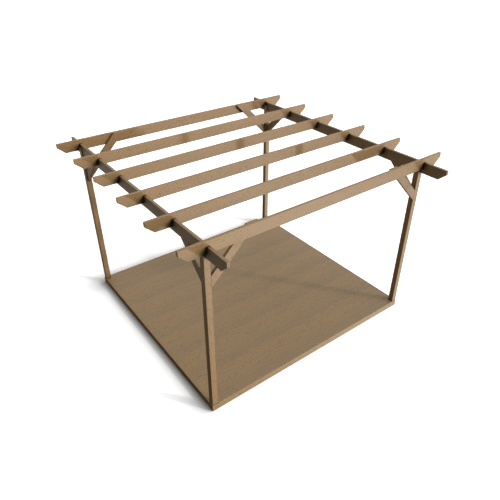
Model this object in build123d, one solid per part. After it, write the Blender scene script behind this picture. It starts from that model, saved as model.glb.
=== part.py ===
from build123d import *
import math
import os

# A free-standing timber pergola on a low boarded deck.
# X runs along the rafters and the deck boards, Y along the two beams, Z is up.
# The origin is the middle of the deck's underside. All lengths are in millimetres.

# Deck
deck_width = 3600.0
deck_depth = 3476.0
fascia_thickness = 20.0
joist_width = 45.0
joist_height = 70.0
joist_count = 9
board_width = 120.0
board_thickness = 24.0
board_least_gap = 2.0
board_end_gap = 2.0
board_edge_radius = 3.0

# Posts
post_side = 80.0
post_length = 2400.0
post_inset = 6.0
post_slot_depth = 104.0

# Beams, one along each side
beam_depth = 158.0
beam_thickness = 38.0
beam_front_overhang = 400.0
beam_back_overhang = 348.0

# Rafters across the beams
rafter_depth = 158.0
rafter_thickness = 38.0
rafter_overhang = 306.0
rafter_lap = 100.0
rafter_count = 6

# Shaped ends of beams and rafters
tail_nose = 62.0
tail_run = 108.0

# Corner braces
brace_width = 110.0
brace_thickness = 38.0
brace_angle = 45.0
brace_reach = 424.0
brace_top_drop = 6.0

# Joinery
joint_clearance = 0.5
arris = 2.0
cut_overrun = 20.0

# Levels
deck_top = joist_height + board_thickness
beam_bottom = deck_top + post_length - post_slot_depth
beam_top = beam_bottom + beam_depth
rafter_bottom = beam_top - rafter_lap
rafter_top = rafter_bottom + rafter_depth
halving_level = (beam_top + rafter_bottom) / 2

# Places in plan
post_outer_x = deck_width / 2 - post_inset
post_outer_y = deck_depth / 2 - post_inset
post_inner_x = post_outer_x - post_side
post_inner_y = post_outer_y - post_side
beam_centre = (post_outer_x + post_inner_x) / 2
beam_front = -post_outer_y - beam_front_overhang
beam_back = post_outer_y + beam_back_overhang
rafter_end = post_outer_x + rafter_overhang
outer_rafter_centre = post_outer_y + rafter_thickness / 2
rafter_pitch = 2 * outer_rafter_centre / (rafter_count - 1)
rafter_centres = [index * rafter_pitch - outer_rafter_centre for index in range(rafter_count)]

sides = {"left": -1, "right": 1}
ends = {"front": -1, "back": 1}
quarter_turn = 90.0


def block(x_range, y_range, z_range):
    """A plain box between two planes along each axis."""
    size = [high - low for low, high in (x_range, y_range, z_range)]
    middle = [(high + low) / 2 for low, high in (x_range, y_range, z_range)]
    return Pos(*middle) * Box(*size)


def span(centre, width):
    """The low and high plane of a width about its centre."""
    return (centre - width / 2, centre + width / 2)


def plank(outline, plane, thickness):
    """A plank with an outline in a plane, even about that plane, and eased edges on both faces."""
    face = plane * make_face(Polyline(*outline, close=True))
    solid = extrude(face, amount=thickness / 2, both=True)
    return chamfer(solid.faces().filter_by(plane).edges(), length=arris)


def tailed_outline(low_end, high_end, bottom, top):
    """The side view of a timber whose two ends are cut back from a short upright nose."""
    return [
        (low_end, top),
        (high_end, top),
        (high_end, top - tail_nose),
        (high_end - tail_run, bottom),
        (low_end + tail_run, bottom),
        (low_end, top - tail_nose),
    ]


def brace_outline(top):
    """The side view of a brace that leaves the post's face and rises to a level top."""
    rise = math.tan(math.radians(brace_angle))
    foot_height = brace_width / math.cos(math.radians(brace_angle))
    foot_bottom = beam_bottom - brace_reach * rise
    lower_reach = (top - foot_bottom) / rise
    upper_reach = (top - foot_bottom - foot_height) / rise
    return [
        (0, foot_bottom),
        (lower_reach, top),
        (upper_reach, top),
        (0, foot_bottom + foot_height),
    ]


def make_post(side, end):
    """A post on the deck's corner, slotted at the top for the beam to drop in."""
    x_range = sorted((side * post_inner_x, side * post_outer_x))
    y_range = sorted((end * post_inner_y, end * post_outer_y))
    post = block(x_range, y_range, (deck_top, deck_top + post_length))
    post = chamfer(post.edges(), length=arris)
    slot_x = span(side * beam_centre, beam_thickness + 2 * joint_clearance)
    slot_y = (y_range[0] - cut_overrun, y_range[1] + cut_overrun)
    return post - block(slot_x, slot_y, (beam_bottom, beam_top))


def make_beam(side):
    """A beam along one side, notched from above where each rafter crosses it."""
    outline = tailed_outline(beam_front, beam_back, beam_bottom, beam_top)
    plane = Plane((side * beam_centre, 0, 0), x_dir=(0, 1, 0), z_dir=(1, 0, 0))
    beam = plank(outline, plane, beam_thickness)
    notch_x = span(side * beam_centre, beam_thickness + 2 * cut_overrun)
    for centre in rafter_centres:
        notch_y = span(centre, rafter_thickness + 2 * joint_clearance)
        beam -= block(notch_x, notch_y, (halving_level, beam_top + cut_overrun))
    return beam


def make_rafter(centre):
    """A rafter across both beams, notched from below to seat in their notches."""
    outline = tailed_outline(-rafter_end, rafter_end, rafter_bottom, rafter_top)
    plane = Plane((0, centre, 0), x_dir=(1, 0, 0), z_dir=(0, -1, 0))
    rafter = plank(outline, plane, rafter_thickness)
    notch_y = span(centre, rafter_thickness + 2 * cut_overrun)
    for side in sides.values():
        notch_x = span(side * beam_centre, beam_thickness + 2 * joint_clearance)
        rafter -= block(notch_x, notch_y, (rafter_bottom - cut_overrun, halving_level))
    return rafter


def make_rafter_brace(side, end):
    """A brace from the post's inner side up the inner face of the outermost rafter."""
    face_y = end * (post_outer_y - brace_thickness / 2)
    plane = Plane((side * post_inner_x, face_y, 0), x_dir=(-side, 0, 0), z_dir=(0, side, 0))
    return plank(brace_outline(rafter_top - brace_top_drop), plane, brace_thickness)


def make_beam_brace(side, end):
    """A brace from the post's inner face up to the beam's underside, in line with the beam."""
    plane = Plane((side * beam_centre, end * post_inner_y, 0), x_dir=(0, -end, 0), z_dir=(-end, 0, 0))
    return plank(brace_outline(beam_bottom), plane, brace_thickness)


def make_fascia(length, offset, quarter_turns):
    """A deck-high board, mitred at both ends, with its top outer edge eased; no turn puts it at the right."""
    section = [
        (offset - fascia_thickness, 0),
        (offset, 0),
        (offset, deck_top - arris),
        (offset - arris, deck_top),
        (offset - fascia_thickness, deck_top),
    ]
    section_plane = Plane((0, 0, 0), x_dir=(1, 0, 0), z_dir=(0, -1, 0))
    bar = extrude(section_plane * make_face(Polyline(*section, close=True)), amount=length / 2, both=True)
    mitred_plan = [
        (offset, -length / 2),
        (offset, length / 2),
        (offset - fascia_thickness, length / 2 - fascia_thickness),
        (offset - fascia_thickness, fascia_thickness - length / 2),
    ]
    mitre = extrude(make_face(Polyline(*mitred_plan, close=True)), amount=deck_top)
    return Rot(0, 0, quarter_turns * quarter_turn) * (bar & mitre)


def make_joists():
    """Joists from the front fascia to the back one, spread evenly with the outer two on the side fascias."""
    reach_x = deck_width / 2 - fascia_thickness
    reach_y = deck_depth / 2 - fascia_thickness
    pitch = (2 * reach_x - joist_width) / (joist_count - 1)
    joists = {}
    for index in range(joist_count):
        centre = joist_width / 2 - reach_x + index * pitch
        joist = block(span(centre, joist_width), (-reach_y, reach_y), (0, joist_height))
        joists[f"deck_joist_{index + 1}"] = joist
    return joists


def make_boards():
    """Deck boards laid side by side over the joists, inside the fascias, with even gaps."""
    length = deck_width - 2 * fascia_thickness - 2 * board_end_gap
    room = deck_depth - 2 * fascia_thickness
    count = int((room - board_least_gap) // (board_width + board_least_gap))
    gap = (room - count * board_width) / (count + 1)
    boards = []
    for index in range(count):
        centre = gap + board_width / 2 - room / 2 + index * (board_width + gap)
        board = block(span(0, length), span(centre, board_width), (joist_height, deck_top))
        top_edges = board.faces().sort_by(Axis.Z)[-1].edges().filter_by(Axis.X)
        boards.append(fillet(top_edges, radius=board_edge_radius))
    return Compound(children=boards)


def make_parts():
    """Every piece by its name."""
    parts = {"deck_boards": make_boards()}
    parts.update(make_joists())
    for turns, name in enumerate(("right", "back", "left", "front")):
        length, across = (deck_width, deck_depth) if name in ends else (deck_depth, deck_width)
        parts[f"{name}_deck_fascia"] = make_fascia(length, across / 2, turns)
    for side_name, side in sides.items():
        parts[f"{side_name}_beam"] = make_beam(side)
        for end_name, end in ends.items():
            corner = f"{end_name}_{side_name}"
            parts[f"{corner}_post"] = make_post(side, end)
            parts[f"{corner}_rafter_brace"] = make_rafter_brace(side, end)
            parts[f"{corner}_beam_brace"] = make_beam_brace(side, end)
    for index, centre in enumerate(rafter_centres):
        parts[f"rafter_{index + 1}"] = make_rafter(centre)
    return parts


os.makedirs("parts", exist_ok=True)
for name, shape in make_parts().items():
    export_step(shape, os.path.join("parts", f"{name}.step"))
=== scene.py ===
import math
import random

import bpy
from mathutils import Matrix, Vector


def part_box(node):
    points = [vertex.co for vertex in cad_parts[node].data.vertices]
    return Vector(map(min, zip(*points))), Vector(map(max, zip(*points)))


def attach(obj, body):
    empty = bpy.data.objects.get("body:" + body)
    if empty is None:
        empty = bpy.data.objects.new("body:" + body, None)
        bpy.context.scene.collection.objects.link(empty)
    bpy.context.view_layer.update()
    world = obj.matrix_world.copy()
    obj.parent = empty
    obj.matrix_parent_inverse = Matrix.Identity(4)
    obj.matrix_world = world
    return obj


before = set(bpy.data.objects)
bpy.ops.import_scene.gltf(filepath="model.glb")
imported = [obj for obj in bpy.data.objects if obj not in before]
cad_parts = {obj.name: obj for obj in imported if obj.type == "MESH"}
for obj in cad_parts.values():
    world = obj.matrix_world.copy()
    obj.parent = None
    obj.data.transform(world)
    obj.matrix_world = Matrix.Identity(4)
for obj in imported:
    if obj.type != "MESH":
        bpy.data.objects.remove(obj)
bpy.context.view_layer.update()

# Axes of the frame: X runs to the right, Y to the back and Z up
x_axis = Vector((1.0, 0.0, 0.0))
y_axis = Vector((0.0, 1.0, 0.0))
z_axis = Vector((0.0, 0.0, 1.0))

# Camera, solved from the photo: metres, degrees, and millimetres for lens and sensor
camera_place = (-3.8687, -5.3043, 5.2003)
camera_azimuth = -36.7753
camera_elevation = 33.4009
camera_lens = 34.98
camera_sensor = 36.0

# Lamps, in degrees: azimuth 0 is straight in front of the pergola, positive to the right,
# and a lamp with an elevation below zero shines up through the floor
key_azimuth = 37.0
key_elevation = 30.0
key_spread = 3.5
key_strength = 0.92
low_azimuth = 38.2
low_elevation = -30.4
low_spread = 1.2
low_strength = 0.80
back_azimuth = 165.0
back_elevation = 3.0
back_strength = 1.2

# Soft dome: a low lobe of light at the front right, a wide one high above it and an even level
dome_azimuth = 37.0
front_elevation = 8.0
front_power = 20.0
front_strength = 7.2
top_elevation = 70.0
top_power = 4.0
top_strength = 1.7
dome_level = 0.008

# Floor, in metres, degrees and linear colours; the colour that is seen is above one, so that it is white
floor_reach = 60.0
floor_colour = (1.74, 1.74, 1.74)
floor_bounce_colour = (0.072, 0.071, 0.070)
# Painted shadow on the floor close to the deck: how far off the deck darkens it, how its view leans and how
# strongly
floor_shadow_reach = 0.46
floor_shadow_elevation = 45.0
floor_shadow_power = 1.75
# Painted shade near the pergola in the floor's reflections, fading out between these distances, and painted
# light towards the key lamp
floor_reflected_shade_start = 2.3
floor_reflected_shade_end = 18.0
floor_lit_rise = 0.11
floor_lit_share = 0.2

# Colours, linear
white = (1.0, 1.0, 1.0)
pale_wood = (0.376, 0.217, 0.077)
dark_wood = (0.262, 0.149, 0.048)
grey_wood = (0.240, 0.172, 0.095)
knot_wood = (0.130, 0.050, 0.010)
# Paler wood of rubbed edges; on the deck boards it is also painted light on their rounded edges
worn_and_lit_wood = (0.360, 0.250, 0.140)
# Near-black painted shade, for corners between timbers and for the posts' feet
painted_shade_colour = (0.004, 0.003, 0.002)

# Wood structure, in metres; a stretch is how often a pattern repeats per metre along and across the fibres
ring_spacing = 0.0042
ring_wander = 0.022
pith_offset = 0.055
drift_stretch = (0.8, 5.0, 5.0)
streak_stretch = (1.1, 30.0, 30.0)
blotch_stretch = (1.6, 4.0, 4.0)
fibre_stretch = (26.0, 800.0, 800.0)
wear_stretch = (9.0, 60.0, 60.0)
grey_stretch = (2.2, 7.0, 7.0)
fleck_stretch = (55.0, 100.0, 100.0)
cluster_stretch = (4.0, 9.0, 9.0)
across_fibres = (0.0, 1.0, 1.0)
knot_spacing = 0.033
knot_radius = 0.009
knot_swirl = 0.028
grain_relief = 0.0005
# Painted shade at the foot of each post, where it stands on the deck: how high it reaches
foot_shade_reach = 0.02
log_reach = 40.0

# Detail of the noise in a pattern
noise_detail = 2.0
streak_detail = 4.0
screw_detail = 3.0

# Half way, for a level that runs from zero to one
middle_share = 0.5

# How far a pattern moves the colour, from dark to pale or towards that of ends, weather, flecks and the
# painted shade at the posts' feet
fibre_share = 0.4
timber_share = 0.05
end_share = 0.35
grey_share = 0.25
fleck_share = 0.85
foot_shade_share = 0.85

# How strongly each pattern shows on timber, and on the kinds that differ from the rest
timber_shares = {
    "streak": 0.4,
    "blotch": 0.7,
    "ring": 0.22,
    "wear": 0.2,
    "mottle": 0.5,
    "knot": 0.8,
    # painted shade in the corners between timbers
    "painted_corner_shade": 0.5,
    "tone": 0.0,
    "weather": 0.0,
    # top: painted shade on upward faces, darkening them towards the grey wood
    "top": 0.0,
}
kind_shares = {
    "beam": {"painted_corner_shade": 1.0, "tone": -0.6, "weather": 0.35},
    "rafter": {"painted_corner_shade": 0.95},
    # The fascia gets painted shade on its top face
    "fascia": {"painted_corner_shade": 0.1, "tone": 0.7, "top": 0.6},
    "boards": {
        "streak": 0.12,
        "blotch": 0.8,
        "ring": 0.08,
        # On the boards, wear also paints light on their rounded edges, which hides the shade in the gaps
        # between them
        "wear": 1.0,
        "mottle": 0.9,
        "knot": 0.4,
        "painted_corner_shade": 0.0,
        "weather": 0.42,
    },
}

# Where patterns start and end, as shares of a ring, a knot, a pith's offset, a noise or a facing
late_start_share = 0.35
late_peak_share = 0.92
late_middle_share = 0.3
knot_core_share = 0.5
knot_least_share = 0.5
pith_shares = (0.7, 1.6)
fleck_shares = (0.57, 0.68)
cluster_shares = (0.5, 0.64)
end_shares = (0.45, 0.6)
top_shade_shares = (0.8, 0.95)
worn_and_lit_edge_shares = (0.2, 0.45)

# Painted shade in the corners between timbers: how far off another timber darkens, in metres, and the
# shares of open view between which the painted shade ends; a rafter's view leans to the right and upwards
corner_shade_reach = 0.20
corner_shade_samples = 8
corner_shade_lean = (0.0, 0.0, 0.0)
corner_shade_shares = (0.5, 0.9)
rafter_corner_shade_lean = (0.8, 0.0, 0.6)
rafter_corner_shade_shares = (0.3, 0.7)

# Gloss and relief of the wood
wood_specular = 0.74
wood_roughness = 0.50
fibre_roughness = 0.16
ring_relief_share = 0.5
fibre_relief_share = 0.6
relief_share = 0.5

# Boards of the deck, in lots that run from dark to pale and end in a paler rim
board_count = 28
board_gap = 0.00262
board_lot = 4
board_lot_share = 0.42
board_rise_share = 0.6
board_rim_share = 0.95
board_rim_tone_share = 0.4
board_grey_share = 0.18
board_tone_share = 0.03
board_pith = (0.0, 0.012, 0.06)

# Deck screws, in metres; the roughness is that of the most worn places
screw_radius = 0.004
screw_rim = 0.0034
screw_recess = 0.0014
screw_rise = 0.0003
screw_sink = 0.0012
screw_sides = 12
screw_spread_share = 0.27
screw_dark = (0.20, 0.125, 0.065)
screw_pale = (0.30, 0.20, 0.115)
screw_stretch = (900.0, 900.0, 900.0)
screw_metal_share = 0.4
screw_roughness = 0.90

# Start of the random draws
seed = 27


class Graph:
    """A node tree, put together one node at a time."""

    def __init__(self, tree):
        self.tree = tree
        tree.nodes.clear()

    def feed(self, socket, value):
        """Sets a socket, or links it where the value comes from another node."""
        if isinstance(value, bpy.types.NodeSocket):
            self.tree.links.new(value, socket)
        else:
            socket.default_value = value

    def node(self, kind, feeds=None, **settings):
        """A node that is fed by the names of its sockets."""
        made = self.tree.nodes.new(kind)
        for key, value in settings.items():
            setattr(made, key, value)
        for key, value in (feeds or {}).items():
            self.feed(made.inputs[key], value)
        return made

    def work(self, kind, *values, **settings):
        """The result of a node whose sockets in use take the values in order."""
        made = self.node(kind, **settings)
        sockets = [socket for socket in made.inputs if socket.enabled]
        for socket, value in zip(sockets, values):
            self.feed(socket, value)
        return next(socket for socket in made.outputs if socket.enabled)

    def math(self, operation, *values, clamp=False):
        return self.work("ShaderNodeMath", *values, operation=operation, use_clamp=clamp)

    def vector(self, operation, *values):
        return self.work("ShaderNodeVectorMath", *values, operation=operation)

    def blend(self, share, first, second):
        """A colour that is a share of the way from the first to the second."""
        return self.work("ShaderNodeMix", share, first, second, data_type="RGBA")

    def step(self, value, low, high, start=0.0, end=1.0):
        """A smooth rise from start to end while the value goes from low to high."""
        values = (value, low, high, start, end)
        return self.work("ShaderNodeMapRange", *values, interpolation_type="SMOOTHSTEP")

    def fade(self, value, low, high, start=1.0):
        """A smooth fall from start to zero while the value goes from low to high."""
        return self.step(value, low, high, start, 0.0)

    def total(self, *values):
        result = values[0]
        for value in values[1:]:
            result = self.math("ADD", result, value)
        return result

    def swing(self, level, span, middle=middle_share):
        """A level from zero to one, made to swing about zero over a span."""
        return self.math("MULTIPLY", self.math("SUBTRACT", level, middle), span)

    def noise(self, place, stretch, detail=noise_detail, output="Fac"):
        scaled = self.vector("MULTIPLY", place, stretch)
        feeds = {"Vector": scaled, "Scale": 1.0, "Detail": detail}
        return self.node("ShaderNodeTexNoise", feeds).outputs[output]

    def close(self, kind, shader):
        self.node(kind, {"Surface": shader})


def new_material(name):
    material = bpy.data.materials.new(name)
    material.use_nodes = True
    return material, Graph(material.node_tree)


def colour(rgb):
    """A colour with the fourth, opaque value that sockets take."""
    return (*rgb, 1.0)


def direction(azimuth, elevation):
    """Unit vector towards a lamp or the camera; azimuth 0 is the front, -Y."""
    turn = math.radians(azimuth)
    rise = math.radians(elevation)
    flat = math.cos(rise)
    return Vector((math.sin(turn) * flat, -math.cos(turn) * flat, math.sin(rise)))


def knots(graph, log_place):
    """One inside small round knots in loose clusters, and the push that bends the rings round them."""
    cells = graph.node("ShaderNodeTexVoronoi", {"Vector": log_place, "Scale": 1.0 / knot_spacing})
    reach = graph.math("MULTIPLY", cells.outputs["Distance"], knot_spacing)
    chance = graph.node("ShaderNodeSeparateColor", {"Color": cells.outputs["Color"]}).outputs["Red"]
    radius = graph.math("MULTIPLY", graph.math("ADD", chance, knot_least_share), knot_radius)
    inside = graph.fade(graph.math("DIVIDE", reach, radius), knot_core_share, 1.0)
    cluster = graph.step(graph.noise(log_place, cluster_stretch), *cluster_shares)
    inside = graph.math("MULTIPLY", inside, cluster)
    push = graph.fade(reach, knot_radius, knot_swirl, knot_radius)
    return inside, graph.work("ShaderNodeCombineXYZ", 0.0, push, push)


def late_wood(graph, local, log_place, pith, push):
    """One in the dark late growth of each ring about the pith, and zero in the early growth."""
    drift = graph.noise(log_place, drift_stretch, output="Color")
    drift = graph.vector("SUBTRACT", drift, (middle_share, middle_share, middle_share))
    drift = graph.vector("SCALE", drift, ring_wander)
    bent = graph.vector("ADD", graph.vector("ADD", local, drift), graph.vector("ADD", push, pith))
    radius = graph.vector("LENGTH", graph.vector("MULTIPLY", bent, across_fibres))
    ring = graph.math("FRACT", graph.math("DIVIDE", radius, ring_spacing))
    rise = graph.step(ring, late_start_share, late_peak_share)
    return graph.math("MULTIPLY", rise, graph.fade(ring, late_peak_share, 1.0))


def painted_corner_shade(graph, facing, kind):
    """Painted shade: one in the corners between timbers; on rafters only in those to the left of a beam."""
    lean = rafter_corner_shade_lean if kind == "rafter" else corner_shade_lean
    limits = rafter_corner_shade_shares if kind == "rafter" else corner_shade_shares
    leaning = graph.vector("NORMALIZE", graph.vector("ADD", facing, lean))
    feeds = {"Distance": corner_shade_reach, "Normal": leaning}
    shade_occlusion = graph.node("ShaderNodeAmbientOcclusion", feeds, samples=corner_shade_samples)
    return graph.fade(shade_occlusion.outputs["AO"], *limits)


def planed_wood(graph, local, log_place, pith, axes, kind, tone, weathering=0.0, foot_shade=0.0):
    """The look shared by all timber, with fibres along local X; axes are local X, Y and Z in the frame."""
    shares = timber_shares | kind_shares.get(kind, {})
    knot, push = knots(graph, log_place)
    late = late_wood(graph, local, log_place, pith, push)
    fibre = graph.noise(log_place, fibre_stretch)
    fleck = graph.noise(log_place, fleck_stretch)
    facing = graph.node("ShaderNodeNewGeometry").outputs["True Normal"]
    along, side, up = [graph.math("ABSOLUTE", graph.vector("DOT_PRODUCT", facing, axis)) for axis in axes]
    pale = graph.total(
        graph.swing(graph.noise(log_place, streak_stretch, streak_detail), shares["streak"]),
        graph.swing(graph.noise(log_place, blotch_stretch), shares["blotch"]),
        graph.swing(fibre, fibre_share),
        graph.swing(fleck, -shares["mottle"]),
        graph.swing(late, -shares["ring"], late_middle_share),
        tone,
        middle_share + shares["tone"],
    )
    weather_and_top_shade = graph.total(
        graph.math("MULTIPLY", graph.noise(log_place, grey_stretch), grey_share),
        shares["weather"],
        weathering,
        # Painted shade on upward faces, where the kind asks for it
        graph.step(up, *top_shade_shares, 0.0, shares["top"]),
    )
    # Rubbed edges: real wear, and on the deck boards also painted light that hides the shade in the gaps
    # between them
    rub_and_edge_light = graph.step(graph.math("MULTIPLY", side, up), *worn_and_lit_edge_shares, 0.0, shares["wear"])
    rub_and_edge_light = graph.math("MULTIPLY", rub_and_edge_light, graph.noise(log_place, wear_stretch))
    # Painted shade in corners and at the posts' feet: it darkens the colour, raises the roughness and tints
    # the reflection dark
    painted_shade = graph.math("MULTIPLY", painted_corner_shade(graph, facing, kind), shares["painted_corner_shade"])
    painted_shade = graph.math("MAXIMUM", painted_shade, foot_shade)
    layers = (
        (weather_and_top_shade, grey_wood),
        (graph.step(along, *end_shares, 0.0, end_share), dark_wood),
        (rub_and_edge_light, worn_and_lit_wood),
        (graph.step(fleck, *fleck_shares, 0.0, fleck_share), knot_wood),
        (graph.math("MULTIPLY", knot, shares["knot"]), knot_wood),
        (painted_shade, painted_shade_colour),
    )
    shade = graph.blend(pale, colour(dark_wood), colour(pale_wood))
    for share, tint in layers:
        shade = graph.blend(share, shade, colour(tint))
    fibre_height = graph.math("MULTIPLY", fibre, fibre_relief_share)
    height = graph.math("MULTIPLY_ADD", late, ring_relief_share, fibre_height)
    feeds = {"Height": height, "Strength": relief_share, "Distance": grain_relief}
    bump = graph.node("ShaderNodeBump", feeds)
    roughness = graph.math("ADD", graph.swing(fibre, fibre_roughness), wood_roughness)
    surface = graph.node("ShaderNodeBsdfPrincipled", {
        "Base Color": shade,
        "Roughness": graph.math("MAXIMUM", roughness, painted_shade),
        "Specular IOR Level": wood_specular,
        # Painted shade: the reflection is tinted dark in corners and at the posts' feet
        "Specular Tint": graph.blend(painted_shade, colour(white), colour(painted_shade_colour)),
        "Normal": bump.outputs["Normal"],
    })
    graph.close("ShaderNodeOutputMaterial", surface.outputs["BSDF"])


def timber(name, kind, axis, low, high, generator):
    """One stick of timber: fibres along its axis, with its own pith and its own length of log."""
    material, graph = new_material(name)
    turn = x_axis.rotation_difference(axis)
    axes = [turn @ unit for unit in (x_axis, y_axis, z_axis)]
    place = graph.node("ShaderNodeTexCoord").outputs["Object"]
    centre = (low + high) / 2.0
    feeds = {"Vector": place, "Location": centre, "Rotation": turn.to_euler()}
    local = graph.node("ShaderNodeMapping", feeds, vector_type="TEXTURE").outputs["Vector"]
    log = [generator.uniform(-log_reach, log_reach) for _ in axes]
    angle = generator.uniform(0.0, math.tau)
    reach = pith_offset * generator.uniform(*pith_shares)
    pith = (0.0, reach * math.cos(angle), reach * math.sin(angle))
    tone = generator.uniform(-timber_share, timber_share)
    log_place = graph.vector("ADD", local, log)
    foot_shade = 0.0
    # Posts get painted shade at their foot, where they meet the deck
    if kind == "post":
        height = graph.node("ShaderNodeSeparateXYZ", {"Vector": place}).outputs["Z"]
        foot_shade = graph.fade(height, low.z, low.z + foot_shade_reach, foot_shade_share)
    planed_wood(graph, local, log_place, pith, axes, kind, tone, foot_shade=foot_shade)
    return material


def board_pitch(low, high):
    """The width of a board and a gap."""
    return (high.y - low.y + board_gap) / board_count


def deck_timber(name, low, high):
    """The deck's boards: each has its own log, and every lot runs from dark to pale and ends in a rim."""
    material, graph = new_material(name)
    pitch = board_pitch(low, high)
    place = graph.node("ShaderNodeTexCoord").outputs["Object"]
    x, y, z = graph.node("ShaderNodeSeparateXYZ", {"Vector": place}).outputs
    row = graph.math("DIVIDE", graph.math("SUBTRACT", y, low.y - board_gap / 2.0), pitch)
    across = graph.swing(graph.math("FRACT", row), pitch)
    depth = graph.math("SUBTRACT", z, high.z)
    local = graph.work("ShaderNodeCombineXYZ", x, across, depth)
    board = graph.math("FLOOR", row)
    chance = graph.node("ShaderNodeTexWhiteNoise", {"W": board}, noise_dimensions="1D")
    log_place = graph.vector("ADD", local, graph.vector("SCALE", chance.outputs["Color"], log_reach))
    lot = graph.math("FRACT", graph.math("DIVIDE", row, board_lot))
    in_lot = graph.step(lot, 0.0, board_rise_share)
    tone = graph.total(
        graph.swing(in_lot, board_lot_share),
        graph.step(lot, board_rim_share, 1.0, 0.0, board_rim_tone_share),
        graph.swing(chance.outputs["Value"], board_tone_share),
    )
    weathering = graph.math("MULTIPLY", graph.math("SUBTRACT", 1.0, in_lot), board_grey_share)
    axes = (x_axis, y_axis, z_axis)
    planed_wood(graph, local, log_place, board_pith, axes, "boards", tone, weathering)
    return material


def seen_share(graph, gloss_share=1.0):
    """One for what the camera sees, also through glass or in a reflection, and zero for other light."""
    path = graph.node("ShaderNodeLightPath")
    gloss = graph.math("MULTIPLY", path.outputs["Is Glossy Ray"], gloss_share)
    share = graph.math("MAXIMUM", path.outputs["Is Camera Ray"], gloss)
    return graph.math("MAXIMUM", share, path.outputs["Is Transmission Ray"])


def floor_finish():
    """A pale floor: its soft shadow close by is deepened with painted shadow, and in reflections it is
    painted darker near the pergola and whiter further off and towards the key light.
    """
    material, graph = new_material("studio_floor")
    place = graph.node("ShaderNodeNewGeometry").outputs["Position"]
    # In reflections the floor is painted dark near the pergola, and whiter further off and towards the key
    # light
    past_reflected_shade = graph.math("SUBTRACT", graph.vector("LENGTH", place), floor_reflected_shade_start)
    past_reflected_shade = graph.math("DIVIDE", past_reflected_shade, floor_reflected_shade_end - floor_reflected_shade_start, clamp=True)
    lit = graph.vector("DOT_PRODUCT", place, direction(key_azimuth, 0.0))
    lit = graph.math("MULTIPLY", lit, floor_lit_rise, clamp=True)
    lit = graph.math("MINIMUM", lit, floor_lit_share)
    seen = seen_share(graph, graph.math("ADD", past_reflected_shade, lit, clamp=True))
    # Painted shadow: the seen floor darkens where the deck hides its view towards the key light
    lean = graph.work("ShaderNodeCombineXYZ", *direction(key_azimuth, floor_shadow_elevation))
    shade_occlusion = graph.node("ShaderNodeAmbientOcclusion", {"Distance": floor_shadow_reach, "Normal": lean})
    floor_shadow_factor = graph.math("POWER", shade_occlusion.outputs["AO"], floor_shadow_power)
    seen_colour = graph.vector("SCALE", floor_colour, floor_shadow_factor)
    shade = graph.blend(seen, colour(floor_bounce_colour), seen_colour)
    matt = graph.node("ShaderNodeBsdfDiffuse", {"Color": shade})
    graph.close("ShaderNodeOutputMaterial", matt.outputs["BSDF"])
    return material


def add_object(name, data):
    made = bpy.data.objects.new(name, data)
    bpy.context.collection.objects.link(made)
    return made


def aim(thing, azimuth, elevation):
    """Turns a lamp or camera so that it looks from a direction at the pergola."""
    thing.rotation_mode = "QUATERNION"
    thing.rotation_quaternion = direction(azimuth, elevation).to_track_quat("Z", "Y")


def add_floor():
    """A wide floor under the deck, which lets the low lamp through from below."""
    square = ((-1, -1), (1, -1), (1, 1), (-1, 1))
    corners = [(x * floor_reach, y * floor_reach, 0.0) for x, y in square]
    mesh = bpy.data.meshes.new("floor")
    mesh.from_pydata(corners, [], [range(len(corners))])
    mesh.materials.append(floor_finish())
    floor = add_object("floor", mesh)
    floor.visible_shadow = False


def add_sun(name, azimuth, elevation, strength, spread=0.0):
    data = bpy.data.lights.new(name, "SUN")
    data.energy = strength
    data.angle = math.radians(spread)
    lamp = add_object(name, data)
    aim(lamp, azimuth, elevation)
    return lamp


def lobe(graph, look, elevation, power):
    """One in the middle of a soft patch of light on the dome, and less away from it."""
    facing = graph.vector("DOT_PRODUCT", look, direction(dome_azimuth, elevation))
    return graph.math("POWER", graph.math("MAXIMUM", facing, 0.0), power)


def light_scene():
    """Three suns, a soft dome that is brightest at the front right, and a white surround to look at."""
    add_sun("key", key_azimuth, key_elevation, key_strength, key_spread)
    add_sun("low_front", low_azimuth, low_elevation, low_strength, low_spread)
    fill = add_sun("back_fill", back_azimuth, back_elevation, back_strength)
    fill.data.use_shadow = False
    fill.visible_glossy = False
    world = bpy.data.worlds.new("studio")
    bpy.context.scene.world = world
    world.use_nodes = True
    graph = Graph(world.node_tree)
    look = graph.node("ShaderNodeTexCoord").outputs["Generated"]
    front = lobe(graph, look, front_elevation, front_power)
    top = lobe(graph, look, top_elevation, top_power)
    level = graph.math("MULTIPLY_ADD", top, top_strength, dome_level)
    level = graph.math("MULTIPLY_ADD", front, front_strength, level)
    strength = graph.work("ShaderNodeMix", seen_share(graph), level, 1.0, data_type="FLOAT")
    glow = graph.node("ShaderNodeBackground", {"Color": colour(white), "Strength": strength})
    graph.close("ShaderNodeOutputWorld", glow.outputs["Background"])


def add_camera():
    data = bpy.data.cameras.new("camera")
    data.lens = camera_lens
    data.sensor_width = camera_sensor
    camera = add_object("camera", data)
    camera.location = camera_place
    aim(camera, camera_azimuth, camera_elevation)
    bpy.context.scene.camera = camera


def fibre_axis(name):
    """Direction of a node's fibres."""
    if name.endswith("rafter_brace"):
        return (z_axis + (x_axis if "left" in name else -x_axis)).normalized()
    if name.endswith("beam_brace"):
        return (z_axis + (y_axis if "front" in name else -y_axis)).normalized()
    if name.endswith("post"):
        return z_axis
    if name.endswith("beam") or "joist" in name or name in ("left_deck_fascia", "right_deck_fascia"):
        return y_axis
    return x_axis


def dress_nodes():
    """Gives every node its own timber; the last word of a name, apart from a number, is its kind."""
    generator = random.Random(seed)
    for name in sorted(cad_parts):
        low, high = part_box(name)
        if name == "deck_boards":
            finish = deck_timber(name, low, high)
        else:
            kind = next(part for part in reversed(name.split("_")) if not part.isdigit())
            finish = timber(name, kind, fibre_axis(name), low, high, generator)
        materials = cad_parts[name].data.materials
        materials.clear()
        materials.append(finish)


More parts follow.
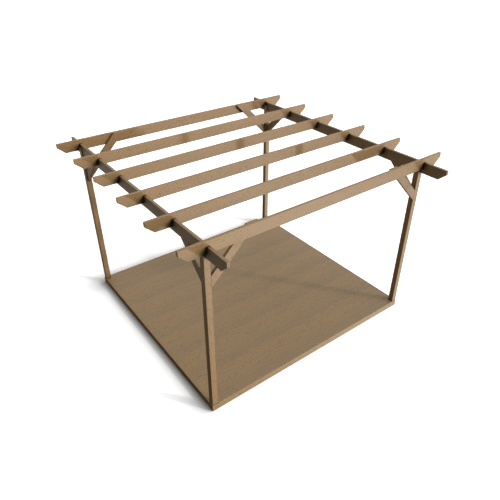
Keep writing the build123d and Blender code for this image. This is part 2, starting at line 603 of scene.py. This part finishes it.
def screw_finish():
    """Brown coated steel, worn a little unevenly."""
    material, graph = new_material("coated_screw")
    place = graph.node("ShaderNodeTexCoord").outputs["Object"]
    wear = graph.noise(place, screw_stretch, screw_detail)
    surface = graph.node("ShaderNodeBsdfPrincipled", {
        "Base Color": graph.blend(wear, colour(screw_dark), colour(screw_pale)),
        "Metallic": screw_metal_share,
        "Roughness": graph.math("MULTIPLY", wear, screw_roughness),
    })
    graph.close("ShaderNodeOutputMaterial", surface.outputs["BSDF"])
    return material


def screw_places():
    """Two places on every board over every joist."""
    low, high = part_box("deck_boards")
    pitch = board_pitch(low, high)
    joists = [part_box(name) for name in sorted(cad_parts) if "joist" in name]
    places = []
    for board in range(board_count):
        middle = low.y + board * pitch + (pitch - board_gap) / 2.0
        for joist_low, joist_high in joists:
            x = (joist_low.x + joist_high.x) / 2.0
            for side in (-1.0, 1.0):
                places.append(Vector((x, middle + side * screw_spread_share * pitch, high.z)))
    return places


def add_screws():
    """Countersunk deck screws with a round recess, as one mesh."""
    profile = (
        (screw_radius, -screw_sink),
        (screw_radius, 0.0),
        (screw_rim, screw_rise),
        (screw_recess, screw_rise),
        (screw_recess, -screw_sink),
    )
    turns = range(screw_sides)
    points = []
    faces = []
    for place in screw_places():
        first = len(points)
        for radius, rise in profile:
            for turn in turns:
                angle = math.tau * turn / screw_sides
                points.append(place + Vector((radius * math.cos(angle), radius * math.sin(angle), rise)))
        for ring in range(len(profile) - 1):
            outer = first + ring * screw_sides
            for turn in turns:
                corners = (outer + turn, outer + (turn + 1) % screw_sides)
                faces.append((*corners, corners[1] + screw_sides, corners[0] + screw_sides))
        faces.append([first + turn for turn in reversed(turns)])
        faces.append([len(points) - screw_sides + turn for turn in turns])
    mesh = bpy.data.meshes.new("deck_screws")
    mesh.from_pydata(points, [], faces)
    mesh.materials.append(screw_finish())
    screws = add_object("deck_screws", mesh)
    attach(screws, "root")


add_camera()
light_scene()
add_floor()
dress_nodes()
add_screws()

bpy.context.scene.view_settings.view_transform = "Standard"
